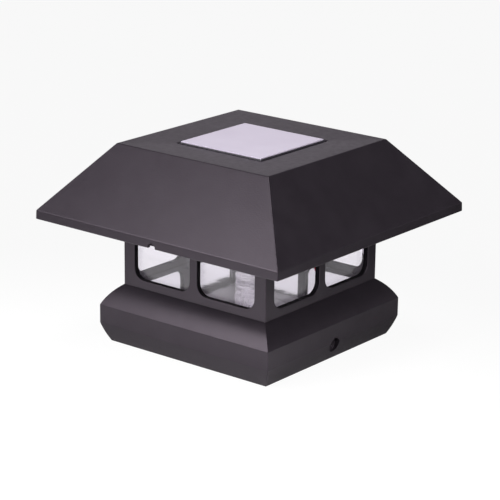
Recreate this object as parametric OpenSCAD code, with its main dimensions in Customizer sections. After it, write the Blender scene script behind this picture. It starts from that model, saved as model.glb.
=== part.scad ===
// Solar cap light for a square deck post: a square lantern with a hipped roof that lifts off.
// Millimetres, +Z up, origin under the middle of the base rim.

/* [Post socket] */
// Width of the post sleeve that the cap sits on
post_w = 101.6; // [92:0.1:112]
// Gap left between post and socket on each side
post_gap = 0.4; // [0.2:0.1:1]
// Depth that the post goes in before it meets the stops
socket_depth = 24; // [18:0.5:27]

/* [Base] */
// Wall of the base moulding
base_wall = 2.3; // [1.6:0.1:3]
// How far the band stands out beyond the rim
flare = 4.4; // [3:0.1:7]
// Height of the slope below the band
lower_h = 10.6; // [8:0.1:14]
// Height of the upright band
band_h = 10.4; // [8:0.1:16]
// Height of the slope above the band
upper_h = 11.2; // [8:0.1:16]
// Outward bow of the upper slope
upper_bow = 0.6; // [0:0.1:1.2]
// Outward bow of the lower slope
lower_bow = 0.3; // [0:0.1:0.8]
// Thickness of the plate that closes the base under the lantern
plate_t = 2.5; // [1.8:0.1:3.5]
// Thickness of the ribs that guide and stop the post
rib_t = 2; // [1.2:0.1:3]
// Distance between neighbouring ribs on one side
rib_pitch = 26; // [20:1:28]
// How far the post stops reach in over the post wall
stop_reach = 7; // [4:0.5:9]

/* [Fixing screw holes] */
// Diameter of the hole that a fixing screw goes through
fix_hole_d = 4.5; // [3.5:0.1:5.5]
// Diameter of the recess for the screw's head
fix_head_d = 8; // [7:0.1:10]
// Height of the hole above the rim
fix_z = 9; // [7.5:0.1:12]
// Plastic left under the screw's head
fix_seat_t = 3.2; // [2:0.1:3.6]

/* [Lantern] */
// Outside width of the square window frame
neck_w = 97; // [90:0.5:102]
// Wall of the window frame
frame_wall = 3; // [2:0.1:3.6]
// Radius of the frame's upright corners
neck_r = 0.6; // [0.4:0.1:2.5]
// Width of one window
window_w = 38.4; // [30:0.2:39.4]
// Height of one window
window_h = 25.1; // [18:0.1:27]
// Corner radius of a window
window_r = 6.3; // [2:0.1:8]
// Bar between the two windows of one side
mullion_w = 5.2; // [3:0.1:8]
// Height of the rail under the windows
sill_h = 4.6; // [4.2:0.1:8]
// Floor of the window frame
frame_floor_t = 1; // [0.8:0.1:2]
// Wall of the clear lens box
lens_wall = 1.5; // [1:0.1:2.2]
// Gap between lens box and frame
lens_gap = 0.2; // [0.1:0.05:0.4]
// How far the top of the lens box lies below the top of the frame
lens_down = 3.1; // [1:0.1:3.4]
// Thickness of the bright plate on the lantern's floor
reflector_t = 0.4; // [0.3:0.1:1.2]

/* [Roof] */
// Width of the flat deck on top
deck_w = 101.9; // [90:0.1:110]
// Width of the roof at the eave's lower edge
eave_w = 163.1; // [150:0.1:175]
// How much the upright edge leans in towards its top, on each side
fascia_draft = 0.15; // [0:0.05:0.5]
// Height of the upright edge of the roof
fascia_h = 4.9; // [4:0.1:8]
// Height of the slope from the eave up to the deck
roof_rise = 36.1; // [30:0.1:45]
// Gap from the top of the base up to the eave's lower edge
eave_gap = 37.4; // [36:0.1:44]
// Wall of the roof moulding
roof_wall = 2.2; // [1.6:0.1:3]
// Depth of the shallow dish that leads in to the panel
dish_depth = 0.6; // [0.2:0.1:1.4]
// Level margin around the dish
dish_margin = 1.4; // [0.8:0.1:3]
// Width of the small notch in the middle of the front and back eave
notch_w = 5; // [3:0.1:8]

/* [Solar panel] */
// Width of the square panel
panel_w = 54; // [44:0.1:60]
// Gap around the panel in its pocket
panel_gap = 0.8; // [0.5:0.1:1.4]
// Thickness of the panel's cover sheet
cover_t = 2; // [1.2:0.1:3]
// Thickness of the cell sheet
cell_t = 0.4; // [0.2:0.1:0.8]
// Thickness of the panel's back board
backing_t = 1; // [0.6:0.1:1.6]
// Thickness of the bead that the panel is bedded in
sealant_t = 0.4; // [0.3:0.1:0.8]
// How far the panel's face stands above the edge of the deck
panel_rise = 0.5; // [0.3:0.1:0.8]

/* [Soffit and housing] */
// Thickness of the plate that closes the eave from below
soffit_t = 1.8; // [1.4:0.1:2.6]
// How far the plate lies up inside the eave
soffit_up = 0.7; // [0.5:0.1:2]
// Running gap around the plate and under the roof where it sits on the lantern
seat_gap = 0.3; // [0.2:0.05:0.5]
// Wall of the electronics housing
housing_wall = 1.6; // [1.2:0.1:2.2]
// Floor of the electronics housing
housing_floor_t = 2; // [1.6:0.1:2.8]
// How far the housing hangs down into the lantern from the plate
housing_drop = 14.3; // [12:0.1:17]
// Gap between housing and lens box
housing_gap = 0.3; // [0.2:0.05:0.6]

/* [Light column] */
// Diameter of the clear column under the lamp
column_d = 16; // [13:0.1:20]
// Gap between the column's foot and the bright plate
column_gap = 0.5; // [0.3:0.1:1]
// Number of flutes around the column
flute_count = 20; // [12:1:28]
// Diameter of one flute
flute_d = 1.5; // [0.8:0.1:1.6]
// Height of one ring bead near the foot
bead_h = 3; // [2:0.1:3.6]

/* [Battery] */
// Diameter of the rechargeable cell
battery_d = 14.5; // [13:0.1:15]
// Length of the cell's body without its tip
battery_l = 49.2; // [40:0.1:50]
// Distance of the cell from the middle of the lamp
battery_y = 25; // [24:0.1:26]
// Gap around the cell and around its door
battery_gap = 0.4; // [0.2:0.05:0.6]
// Thickness of the battery door
door_t = 1.6; // [1.2:0.1:1.8]
// Diameter of the door's hinge barrel
barrel_d = 3; // [2.4:0.1:3.6]
// Diameter of the door's hinge pins
pin_d = 1.8; // [1.2:0.1:2]
// Running gap around a hinge pin
pin_fit = 0.06; // [0.03:0.01:0.1]

/* [Switch] */
// Width of the switch knob
knob_w = 2.6; // [2:0.1:3.2]
// Length of the knob along its travel
knob_l = 4; // [3:0.1:5]
// Travel of the knob
knob_travel = 3; // [2:0.1:3.5]
// How far the knob stands out of its collar
knob_out = 5.5; // [3:0.1:7]
// How far the collar hangs below the housing
collar_h = 5; // [3:0.1:6]

/* [Screws and leads] */
// Thread diameter of the small screws
screw_d = 2.9; // [2.2:0.1:3.2]
// Head diameter of the small screws
head_d = 5.6; // [4.8:0.1:6]
// Head height of the small screws
head_h = 2; // [1.5:0.1:2.2]
// Outside diameter of the leads
lead_d = 1.3; // [0.9:0.1:1.6]

/* [Hidden] */
$fn = 64;

// colours, as the object shows them
black_abs = "#3b373c";
dark_abs = "#2f2b30";
white_abs = "#d8d5d6";
steel = "#b9bbbf";
board_green = "#2f6b45";

// cutters run past the faces that they open by this much
past = 1;
// flat faces of one body that meet are kept this far apart
film = 0.05;

// base
socket_half = post_w / 2 + post_gap;
rim_half = socket_half + base_wall;
band_half = rim_half + flare;
neck_half = neck_w / 2;
z_band = lower_h;
z_shoulder = z_band + band_h;
z_neck = z_shoulder + upper_h;
slope_run = (band_half - neck_half) / upper_h;
slope_wall = base_wall * sqrt(1 + slope_run * slope_run);
stop_half = socket_half - stop_reach;
rib_foot = 3;
fix_boss_wall = 2;
fix_boss_d = fix_head_d + 2 * fix_boss_wall;
washer_t = 0.8;

// lantern
z_floor = z_neck + frame_floor_t;
z_bright = z_floor + reflector_t;
z_sill = z_neck + sill_h;
z_head = z_sill + window_h;
frame_in = neck_half - frame_wall;
lens_half = frame_in - lens_gap;
lens_in = lens_half - lens_wall;
reflector_half = lens_in - lens_gap;
foot_d = 7;
washer_d = foot_d + 3;
washer_inset = 4.7;
foot_at = stop_half - washer_inset - washer_d / 2;
foot_gap = 0.2;
pilot_d = screw_d - 0.5;
shank_gap = 0.2;
soffit_screw_l = 10;
board_screw_l = 5;

// roof
deck_half = deck_w / 2;
eave_half = eave_w / 2;
z_eave = z_neck + eave_gap;
z_gutter = z_eave + fascia_h;
z_deck = z_gutter + roof_rise;
gutter_half = eave_half - fascia_draft;
roof_run = (gutter_half - deck_half) / roof_rise;
roof_wall_x = roof_wall * sqrt(1 + roof_run * roof_run);
panel_half = panel_w / 2;
pocket_half = panel_half + panel_gap;
cell_margin = 0.8;
panel_stack = sealant_t + backing_t + cell_t + cover_t;
z_panel = z_deck + panel_rise;
bead_down = 0.3;
bead_w = 5;
z_pocket = z_panel - panel_stack;
pocket_floor_t = 1.8;
z_ceiling = z_deck - dish_depth - roof_wall - 0.2;
notch_r = notch_w / 2;
notch_up = 0.4;
lead_hole_d = 5;

// soffit and housing
z_soffit = z_eave + soffit_up;
z_soffit_top = z_soffit + soffit_t;
soffit_half = eave_half - roof_wall - seat_gap;
ledge_w = 0.6;
ledge_half = gutter_half - roof_wall_x - ledge_w;
frame_top = z_soffit - seat_gap;
lens_top = frame_top - lens_down;
housing_half = lens_in - housing_gap;
housing_in = housing_half - housing_wall;
z_housing = z_soffit - housing_drop;
z_tray = z_housing + housing_floor_t;
flange_t = 1.6;
flange_w = 6;
flange_half = housing_half + flange_w;
z_flange = z_soffit_top + film;
soffit_screw_at = (neck_half + soffit_half) / 2 - 1;
cup_d = head_d + 5;
cup_depth = head_h + 0.3;
cup_h = cup_depth + 2;
flange_screw_at = housing_half + flange_w / 2;

// light column
column_r = column_d / 2;
column_flange_d = column_d + 5;
column_flange_t = 1.5;
column_bore_d = 6.4;
z_column = z_bright + column_gap;
z_column_flange = z_tray + film;
bead_waist = 1.1;
column_play = 0.2;
column_solid_h = 6;
lamp_board_d = column_flange_d + 1;
lamp_board_t = 1.2;
lamp_hole_d = 0.8;
z_lamp_board = z_column_flange + column_flange_t + film;
clamp_t = 1.8;
clamp_w = 9;
z_clamp = z_lamp_board + lamp_board_t + film;
clamp_screw_at = lamp_board_d / 2 + 4.2;
small_boss_d = 6;
led_d = 5;
led_l = 8.6;

// battery
battery_r = battery_d / 2;
tip_l = 1;
contact_t = 0.4;
spring_l = 3.2;
bay_half = (battery_l + tip_l + spring_l) / 2;
bay_wall = 1.6;
bay_side = 1.9;
saddle_t = 1.4;
door_half_y = battery_r + battery_gap + bay_side;
door_half_x = bay_half - battery_gap;
pin_l = 1.8;
ear_margin = 1;
saddle_end = 4;
tab_w = 10;
tab_t = 1.6;
tab_h = 1.2;
ear_t = 2.4;
z_battery = z_tray + battery_gap + battery_r;
z_hinge = z_housing + barrel_d / 2;
y_hinge = battery_y + door_half_y - barrel_d / 2;
cradle_h = battery_d + 1;
tab_top = z_tray + cradle_h + 2;
contact_w = 10;
contact_low = z_battery - 5.5;

// control board
board_x = 52;
board_y = 22;
board_t = 1.4;
chip_x = 5;
chip_y = 4;
chip_h = 1.6;
coil_d = 3;
coil_l = 8;
coil_lift = 0.1;
part_apart = 4;
board_inset = 3.9;
board_at_y = -(housing_in - board_inset - board_y / 2);
board_lift = 4;
z_board = z_tray + board_lift;
board_top = z_board + film + board_t;
board_screw_x = board_x / 2 - 4;

// switch
collar_wall = 1.3;
knob_gap = 0.3;
knob_x = housing_in - knob_gap - knob_w / 2;
knob_y = 6.3;
z_collar = z_housing - collar_h;
z_knob = z_collar - knob_out;
switch_l = 10;
switch_w = 4.2;
switch_h = 4;
switch_gap = 0.2;
switch_x = housing_in - switch_gap - switch_w / 2;
switch_top = z_tray + film + switch_h;
slot_half_y = (knob_l + knob_travel) / 2 + knob_gap;
slot_y = knob_y + knob_travel / 2;

reach = 400;

// ---------- shapes used more than once ----------

// bowed line from a to b, standing out by the given height in its middle
function bowed(a, b, height, steps) =
    let (d = b - a, n = [d[1], -d[0]] / norm(d))
    [for (i = [0:steps]) let (t = i / steps) a + d * t + n * 4 * height * t * (1 - t)];

// four-sided solid whose half width at each height is given, mitred at its corners
module hipped(outline) {
    side = concat(outline, [for (i = [len(outline) - 1:-1:0]) [-outline[i][0], outline[i][1]]]);
    intersection() {
        rotate([90, 0, 0])
            linear_extrude(reach, center = true)
                polygon(side);
        rotate([90, 0, 90])
            linear_extrude(reach, center = true)
                polygon(side);
    }
}

// upright square block of a given half width, centred on the axis
module block(half, low, high) {
    translate([-half, -half, low])
        cube([2 * half, 2 * half, high - low]);
}

// flat rounded rectangle
module round_rect(w, h, r) {
    square([w - 2 * r, h], center = true);
    square([w, h - 2 * r], center = true);
    for (x = [-1, 1], y = [-1, 1])
        translate([x * (w / 2 - r), y * (h / 2 - r)])
            circle(r);
}

// upright square block with round corners
module round_block(half, r, low, high) {
    translate([0, 0, low])
        linear_extrude(high - low)
            round_rect(2 * half, 2 * half, r);
}

module rod(d, low, high) {
    translate([0, 0, low])
        cylinder(d = d, h = high - low);
}

module on_corners(at) {
    for (x = [-1, 1], y = [-1, 1])
        translate([x * at, y * at, 0])
            children();
}

// eight places around the eave: four corners and four middles
module around_eave(at) {
    on_corners(at)
        children();
    for (turn = [0:90:270])
        rotate([0, 0, turn])
            translate([at, 0, 0])
                children();
}

// pan-head screw pointing up, with the underside of its head at height 0
module screw_up(length) {
    difference() {
        union() {
            rotate_extrude()
                polygon([
                    [0, -head_h], [head_d * 0.32, -head_h], [head_d * 0.46, -head_h * 0.7],
                    [head_d / 2, -head_h * 0.3], [head_d / 2, 0], [0, 0]
                ]);
            rod(pilot_d - 0.1, -film, length);
        }
        for (turn = [0, 90])
            rotate([0, 0, turn])
                translate([-head_d * 0.28, -0.4, -head_h - past])
                    cube([head_d * 0.56, 0.8, past + head_h * 0.5]);
    }
}

module screw_down(length) {
    mirror([0, 0, 1])
        screw_up(length);
}

// round lead through the given points, smoothed between them
function smooth(p, steps) =
    let (n = len(p))
    concat(
        [for (i = [0:n - 2], s = [0:steps - 1])
            let (
                t = s / steps,
                a = p[max(i - 1, 0)], b = p[i], c = p[i + 1], d = p[min(i + 2, n - 1)]
            )
            0.5 * ((2 * b) + (c - a) * t + (2 * a - 5 * b + 4 * c - d) * t * t
                + (3 * b - a - 3 * c + d) * t * t * t)],
        [p[n - 1]]
    );
function unit(v) = v / norm(v);
function heading(p, i) = unit(p[min(i + 1, len(p) - 1)] - p[max(i - 1, 0)]);
// first side vector of a path, then each next one carried along without twist
function side_of(t) = unit(cross(t, abs(t[2]) > 0.9 ? [1, 0, 0] : [0, 0, 1]));
function carried(p, i, s) =
    i >= len(p) ? [] :
    let (t = heading(p, i), u = unit(s - t * (s * t)))
    concat([u], carried(p, i + 1, u));

module tube_along(p, d, sides) {
    s = carried(p, 0, side_of(heading(p, 0)));
    rings = [for (i = [0:len(p) - 1])
        let (t = heading(p, i), u = s[i], v = cross(t, u))
        for (k = [0:sides - 1])
            p[i] + (u * cos(360 * k / sides) + v * sin(360 * k / sides)) * d / 2];
    last = (len(p) - 1) * sides;
    faces = concat(
        [[for (k = [0:sides - 1]) k]],
        [for (i = [0:len(p) - 2], k = [0:sides - 1])
            let (a = i * sides + k, b = i * sides + (k + 1) % sides)
            [b, a, a + sides]],
        [for (i = [0:len(p) - 2], k = [0:sides - 1])
            let (a = i * sides + k, b = i * sides + (k + 1) % sides)
            [b, a + sides, b + sides]],
        [[for (k = [sides - 1:-1:0]) last + k]]
    );
    polyhedron(points = rings, faces = faces, convexity = 6);
}

// lead whose first and last stretches run straight
module lead(points) {
    last = len(points) - 1;
    inner = [for (i = [1:last - 1]) points[i]];
    tube_along(concat([points[0]], smooth(inner, 5), [points[last]]), lead_d, 8);
}

// ---------- base ----------

base_outline = concat(
    bowed([rim_half, 0], [band_half, z_band], lower_bow, 4),
    bowed([band_half, z_shoulder], [neck_half, z_neck], upper_bow, 8)
);

base_hollow = [
    [rim_half - base_wall, -past],
    [rim_half - base_wall, 0],
    [band_half - base_wall, z_band],
    [band_half - base_wall, z_shoulder - (slope_wall - base_wall) / slope_run],
    [neck_half + plate_t * slope_run - slope_wall, z_neck - plate_t]
];

module base_ribs() {
    difference() {
        intersection() {
            hipped(base_outline);
            for (turn = [0, 90])
                rotate([0, 0, turn])
                    for (k = [-1.5:1:1.5])
                        translate([k * rib_pitch - rib_t / 2, -band_half, rib_foot])
                            cube([rib_t, 2 * band_half, z_neck - plate_t / 2 - rib_foot]);
        }
        block(socket_half, -past, socket_depth);
        block(stop_half, socket_depth - past, z_neck - plate_t);
    }
}

module base_skirt() {
    color(black_abs)
    difference() {
        union() {
            difference() {
                hipped(base_outline);
                hipped(base_hollow);
            }
            base_ribs();
            // bosses behind the fixing holes
            intersection() {
                hipped(base_outline);
                for (side = [-1, 1])
                    translate([side * (socket_half + band_half) / 2, 0, fix_z])
                        rotate([0, 90, 0])
                            cylinder(d = fix_boss_d, h = band_half - socket_half, center = true);
            }
        }
        for (side = [0, 180])
            rotate([0, 0, side]) {
                translate([socket_half - past, 0, fix_z])
                    rotate([0, 90, 0])
                        cylinder(d = fix_hole_d, h = band_half);
                translate([socket_half + fix_seat_t, 0, fix_z])
                    rotate([0, 90, 0])
                        cylinder(d = fix_head_d, h = band_half);
            }
        on_corners(foot_at)
            rod(foot_d + 2 * foot_gap, z_neck - plate_t - past, z_neck + past);
    }
}

// ---------- lantern ----------

module lantern_frame() {
    color(black_abs)
    difference() {
        union() {
            difference() {
                round_block(neck_half, neck_r, z_neck, frame_top);
                round_block(frame_in, neck_r / 2, z_floor, frame_top + past);
            }
            on_corners(foot_at)
                rod(foot_d, z_neck - plate_t + foot_gap, z_neck + film);
        }
        for (turn = [0, 90])
            rotate([0, 0, turn])
                for (side = [-1, 1])
                    translate([side * (mullion_w + window_w) / 2, 0, (z_sill + z_head) / 2])
                        rotate([90, 0, 0])
                            linear_extrude(neck_w + 2 * past, center = true)
                                round_rect(window_w, window_h, window_r);
        on_corners(foot_at)
            rod(pilot_d, z_neck - plate_t, z_floor - 0.5);
    }
}

module lens_box() {
    color([0.9, 0.9, 0.92, 0.35])
    difference() {
        round_block(lens_half, neck_r / 2, z_floor + film, lens_top);
        round_block(lens_in, neck_r / 2, z_floor - past, lens_top + past);
    }
}

module reflector_plate() {
    color("#c9cbd0")
    round_block(reflector_half, neck_r / 2, z_floor + film, z_bright);
}

// washers wide enough to bridge the holes in the plate
module frame_washers() {
    color(steel)
    on_corners(foot_at)
        translate([0, 0, z_neck - plate_t])
            difference() {
                rod(washer_d, -washer_t, -film);
                rod(screw_d, -washer_t - past, past);
            }
}

module frame_screws() {
    color(steel)
    on_corners(foot_at)
        translate([0, 0, z_neck - plate_t - washer_t - film])
            screw_up(plate_t + frame_floor_t);
}

// ---------- roof ----------

roof_outline = [[eave_half, z_eave], [gutter_half, z_gutter], [deck_half, z_deck]];

roof_hollow = [
    [eave_half - roof_wall, z_eave - past],
    [eave_half - roof_wall, z_soffit_top + film],
    [ledge_half, z_soffit_top + film],
    [ledge_half, z_gutter + ledge_w / roof_run],
    [deck_half - roof_wall_x + (z_deck - z_ceiling) * roof_run, z_ceiling]
];

dish_outline = [
    [pocket_half, z_deck - dish_depth],
    [deck_half - dish_margin, z_deck],
    [deck_half - dish_margin, z_deck + past],
    [pocket_half, z_deck + past]
];

module roof_shell() {
    color(black_abs)
    difference() {
        union() {
            difference() {
                hipped(roof_outline);
                hipped(roof_hollow);
            }
            // tub that holds the panel
            block(pocket_half + pocket_floor_t, z_pocket - pocket_floor_t, z_deck - dish_depth);
            // bosses for the screws of the soffit plate
            intersection() {
                hipped(roof_outline);
                around_eave(soffit_screw_at)
                    rod(small_boss_d + 1, z_soffit + cup_h + film, z_deck);
            }
        }
        hipped(dish_outline);
        block(pocket_half, z_pocket, z_deck + past);
        rod(lead_hole_d, z_pocket - pocket_floor_t - past, z_pocket + past);
        around_eave(soffit_screw_at)
            rod(pilot_d, z_soffit, z_soffit + cup_h + soffit_screw_l);
        translate([0, 0, z_eave + notch_up])
            rotate([90, 0, 0])
                cylinder(r = notch_r, h = 2 * eave_w, center = true);
    }
}

module panel_cover() {
    color([0.8, 0.77, 0.84])
    block(panel_half, z_panel - cover_t, z_panel);
}

module solar_cell() {
    color("#23243a")
    block(panel_half - cell_margin, z_panel - cover_t - cell_t, z_panel - cover_t - film);
}

module panel_backing() {
    color("#e4e2dd")
    block(panel_half, z_pocket + sealant_t, z_panel - cover_t - cell_t - film);
}

// the bead fills the gap around the panel and slopes from its edge down to the dish
bead_outline = [
    [pocket_half - film, z_pocket + film],
    [pocket_half - film, z_deck - dish_depth],
    [panel_half + film, z_panel - bead_down],
];

module panel_sealant() {
    color("#1d1c20")
    difference() {
        hipped(bead_outline);
        block(panel_half + film, z_pocket + sealant_t - film, z_panel);
        block(panel_half - bead_w, z_pocket - past, z_panel);
    }
}

// ---------- soffit and housing ----------

module soffit_plate() {
    color(dark_abs)
    difference() {
        union() {
            block(soffit_half, z_soffit, z_soffit_top);
            around_eave(soffit_screw_at)
                rod(cup_d, z_soffit + film, z_soffit + cup_h);
        }
        block(housing_half + housing_gap, z_soffit - past, z_soffit_top + past);
        around_eave(soffit_screw_at) {
            rod(head_d + 1, z_soffit - past, z_soffit + cup_depth);
            rod(screw_d + 2 * shank_gap, z_soffit - past, z_soffit + cup_h + past);
        }
        on_corners(flange_screw_at)
            rod(pilot_d, z_soffit - past, z_soffit_top + past);
    }
}

module soffit_screws() {
    color(steel)
    around_eave(soffit_screw_at)
        translate([0, 0, z_soffit + cup_depth - film])
            screw_up(soffit_screw_l);
}

module battery_bay() {
    for (side = [-1, 1]) {
        // end walls that hold the contacts
        translate([
            side * (bay_half + contact_t + bay_wall / 2) - bay_wall / 2,
            battery_y - battery_r,
            z_tray - film
        ])
            cube([bay_wall, battery_d, cradle_h + film]);
        // low walls beside the cell
        translate([
            -battery_l / 2 + saddle_end,
            battery_y + side * (door_half_y + battery_gap + film + saddle_t / 2) - saddle_t / 2,
            z_tray - film
        ])
            cube([battery_l - 2 * saddle_end, saddle_t, cradle_h * 0.6]);
        // ears that carry the door's hinge pins
        translate([
            side * (bay_half + ear_t / 2) - ear_t / 2,
            y_hinge - barrel_d / 2 - ear_margin,
            z_tray - film
        ])
            cube([ear_t, barrel_d + 2 * ear_margin, barrel_d - housing_floor_t + ear_margin]);
    }
}

module switch_collar() {
    translate([knob_x - knob_w / 2 - knob_gap - collar_wall, slot_y - slot_half_y - collar_wall, z_collar])
        cube([
            knob_w + 2 * knob_gap + collar_wall + housing_wall,
            2 * (slot_half_y + collar_wall),
            collar_h + film
        ]);
}

module housing_bosses(d, low_cut, high_cut) {
    // under the clamp over the lamp
    for (side = [-1, 1])
        translate([side * clamp_screw_at, 0, 0])
            rod(d, z_tray - low_cut, z_clamp - film + high_cut);
    // under the control board
    for (side = [-1, 1])
        translate([side * board_screw_x, board_at_y, 0])
            rod(d, z_tray - low_cut, z_board + high_cut);
}

module light_housing() {
    color(white_abs)
    difference() {
        union() {
            difference() {
                union() {
                    block(housing_half, z_housing, z_flange + flange_t);
                    block(flange_half, z_flange, z_flange + flange_t);
                }
                block(housing_in, z_tray, z_flange + flange_t + past);
            }
            battery_bay();
            switch_collar();
            housing_bosses(small_boss_d, film, 0);
        }
        rod(column_d + 2 * column_play, z_housing - past, z_tray + past);
        housing_bosses(pilot_d, housing_floor_t / 2, past);
        // opening under the cell
        translate([-bay_half, battery_y - door_half_y - battery_gap, z_housing - past])
            cube([2 * bay_half, 2 * (door_half_y + battery_gap), housing_floor_t + 2 * past]);
        // blind holes for the hinge pins
        translate([0, y_hinge, z_hinge])
            rotate([0, 90, 0])
                cylinder(d = pin_d + 2 * pin_fit, h = 2 * (door_half_x + pin_l + 0.2), center = true);
        // slot for the knob
        translate([knob_x - knob_w / 2 - knob_gap, slot_y - slot_half_y, z_collar - past])
            cube([knob_w + 2 * knob_gap, 2 * slot_half_y, collar_h + housing_floor_t + 2 * past]);
        on_corners(flange_screw_at)
            rod(screw_d + 2 * shank_gap, z_flange - past, z_flange + flange_t + past);
    }
}

module housing_screws() {
    color(steel)
    on_corners(flange_screw_at)
        translate([0, 0, z_flange + flange_t + film])
            screw_down(flange_t + soffit_t);
}

// ---------- lamp ----------

column_outline = concat(
    [[0, z_column], [column_r - 1.2, z_column], [column_r - 0.3, z_column + 0.4]],
    [for (k = [0, 1], i = [0:6])
        let (t = i / 6)
        [column_r - bead_waist + bead_waist * sin(180 * t), z_column + 0.6 + bead_h * (k + t)]],
    [
        [column_r - bead_waist, z_column + 0.9 + 2 * bead_h],
        [column_r, z_column + 1.9 + 2 * bead_h],
        [column_r, z_column_flange],
        [column_flange_d / 2, z_column_flange],
        [column_flange_d / 2, z_column_flange + column_flange_t],
        [0, z_column_flange + column_flange_t]
    ]
);

module light_column() {
    color([0.9, 0.9, 0.95, 0.4])
    difference() {
        rotate_extrude()
            polygon(column_outline);
        rod(column_bore_d, z_column + column_solid_h, z_column_flange + column_flange_t + past);
        for (k = [0:flute_count - 1])
            rotate([0, 0, 360 * k / flute_count])
                translate([column_r, 0, 0])
                    rod(flute_d, z_column + 2.4 + 2 * bead_h, z_housing - 1);
    }
}

module lamp_board() {
    color(board_green)
    difference() {
        rod(lamp_board_d, z_lamp_board, z_lamp_board + lamp_board_t);
        for (side = [-1, 1])
            translate([0, side * lamp_pad_y, 0])
                rod(lamp_hole_d, z_lamp_board - past, z_lamp_board + lamp_board_t + past);
    }
}

module lamp_led() {
    color([0.95, 0.95, 0.85, 0.6])
    translate([0, 0, z_lamp_board - film]) {
        rod(led_d, -led_l + led_d / 2, 0);
        translate([0, 0, -led_l + led_d / 2])
            sphere(d = led_d);
        rod(led_d + 0.8, -1, 0);
    }
}

module column_clamp() {
    color(white_abs)
    difference() {
        translate([-clamp_screw_at - small_boss_d / 2, -clamp_w / 2, z_clamp])
            cube([2 * clamp_screw_at + small_boss_d, clamp_w, clamp_t]);
        for (side = [-1, 1])
            translate([side * clamp_screw_at, 0, 0])
                rod(screw_d + 2 * shank_gap, z_clamp - past, z_clamp + clamp_t + past);
    }
}

module clamp_screws() {
    color(steel)
    for (side = [-1, 1])
        translate([side * clamp_screw_at, 0, z_clamp + clamp_t + film])
            screw_down(board_screw_l);
}

// ---------- battery ----------

module battery() {
    color("#4f8f5a")
    translate([(spring_l - tip_l) / 2, battery_y, z_battery])
        rotate([0, 90, 0]) {
            cylinder(d = battery_d, h = battery_l, center = true);
            translate([0, 0, battery_l / 2 - film])
                cylinder(d = 5.2, h = tip_l + film);
        }
}

module contact_blade(at) {
    translate([at, battery_y - contact_w / 2, contact_low])
        cube([contact_t - film, contact_w, z_battery + battery_r - 1 - contact_low]);
    // solder tab
    translate([at, battery_y - 1.5, z_battery])
        cube([contact_t - film, 3, tab_top - z_battery]);
}

// conical spring that winds in towards the cell
spring_turns = 2.5;
spring_wire = 0.6;
spring_wide_r = 4.6;
spring_narrow_r = 2.7;
spring_steps = 30;
spring_run = spring_l - spring_wire - 2 * film;
spring_path = [for (k = [0:spring_steps])
    let (
        t = k / spring_steps,
        r = spring_wide_r + (spring_narrow_r - spring_wide_r) * t,
        turn = 360 * spring_turns * t
    )
    [
        -bay_half + film + spring_wire / 2 + spring_run * t,
        battery_y + r * cos(turn),
        z_battery + r * sin(turn)
    ]];
half_turn = spring_steps / spring_turns / 2;
echo(spring_gap = min([
    for (i = [0:spring_steps], j = [0:spring_steps])
        if (j > i + half_turn) norm(spring_path[i] - spring_path[j])
]) - spring_wire);

module spring_contact() {
    color(steel) {
        contact_blade(-bay_half - contact_t);
        tube_along(spring_path, spring_wire, 6);
    }
}

module plate_contact() {
    color(steel)
    contact_blade(bay_half + film);
}

module battery_door() {
    color(white_abs) {
        translate([-door_half_x, battery_y - door_half_y, z_housing])
            cube([2 * door_half_x, y_hinge - battery_y + door_half_y, door_t]);
        translate([0, y_hinge, z_hinge])
            rotate([0, 90, 0]) {
                cylinder(d = barrel_d, h = 2 * door_half_x, center = true);
                cylinder(d = pin_d, h = 2 * (door_half_x + pin_l), center = true);
            }
        // finger tab
        translate([-tab_w / 2, battery_y - door_half_y, z_housing - tab_h])
            cube([tab_w, tab_t, tab_h + film]);
    }
}

// ---------- control board ----------

module control_board() {
    color(board_green)
    difference() {
        translate([-board_x / 2, board_at_y - board_y / 2, z_board + film])
            cube([board_x, board_y, board_t]);
        for (side = [-1, 1])
            translate([side * board_screw_x, board_at_y, 0])
                rod(screw_d + 2 * shank_gap, z_board - past, board_top + past);
    }
}

module board_screws() {
    color(steel)
    for (side = [-1, 1])
        translate([side * board_screw_x, board_at_y, board_top + film])
            screw_down(board_screw_l);
}

module driver_chip() {
    color("#1b1b1e")
    translate([-part_apart - chip_x / 2, board_at_y - chip_y / 2, board_top + film])
        cube([chip_x, chip_y, chip_h]);
}

module inductor() {
    color("#3c7c4c")
    translate([part_apart, board_at_y, board_top + coil_lift + coil_d / 2])
        rotate([0, 90, 0])
            cylinder(d = coil_d, h = coil_l);
}

// ---------- switch ----------

module switch_body() {
    color("#26262a")
    translate([switch_x - switch_w / 2, slot_y - switch_l / 2, z_tray + film])
        cube([switch_w, switch_l, switch_h]);
}

module switch_knob() {
    color("#c3262f")
    translate([knob_x - knob_w / 2, knob_y - knob_l / 2, z_knob])
        cube([knob_w, knob_l, z_tray - knob_gap - z_knob]);
}

// ---------- leads ----------

lead_red = "#b3242c";
lead_black = "#1c1c1f";
end_gap = 0.1;
lead_stub = 2;
pad_pitch = 5;
pad_inset = 4;
panel_pad_x = 1.4;
panel_stub = sealant_t + pocket_floor_t + 2;
lamp_pad_y = 7;
switch_pad_y = 3;
z_lamp_pad = z_lamp_board + lamp_board_t + end_gap;

// solder point on the control board, counted from its middle
function board_pad(k) = [
    k * pad_pitch,
    board_at_y + board_y / 2 - pad_inset,
    board_top + end_gap
];

// lead that leaves both ends upright and arches between them
module lead_between(from, from_stub, to, arch) {
    start = from + [0, 0, from_stub];
    finish = to + [0, 0, lead_stub];
    over = [for (t = [0.3, 0.7]) start + (finish - start) * t + [0, 0, arch]];
    lead([from, start, over[0], over[1], finish, to]);
}

module panel_lead(side, pad) {
    lead_between(
        [side * panel_pad_x, 0, z_pocket + sealant_t - end_gap], -panel_stub,
        board_pad(pad), 0
    );
}

module battery_lead(side, pad) {
    lead_between(
        [side * (bay_half + contact_t / 2), battery_y, tab_top + end_gap], lead_stub,
        board_pad(pad), lead_stub
    );
}

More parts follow.
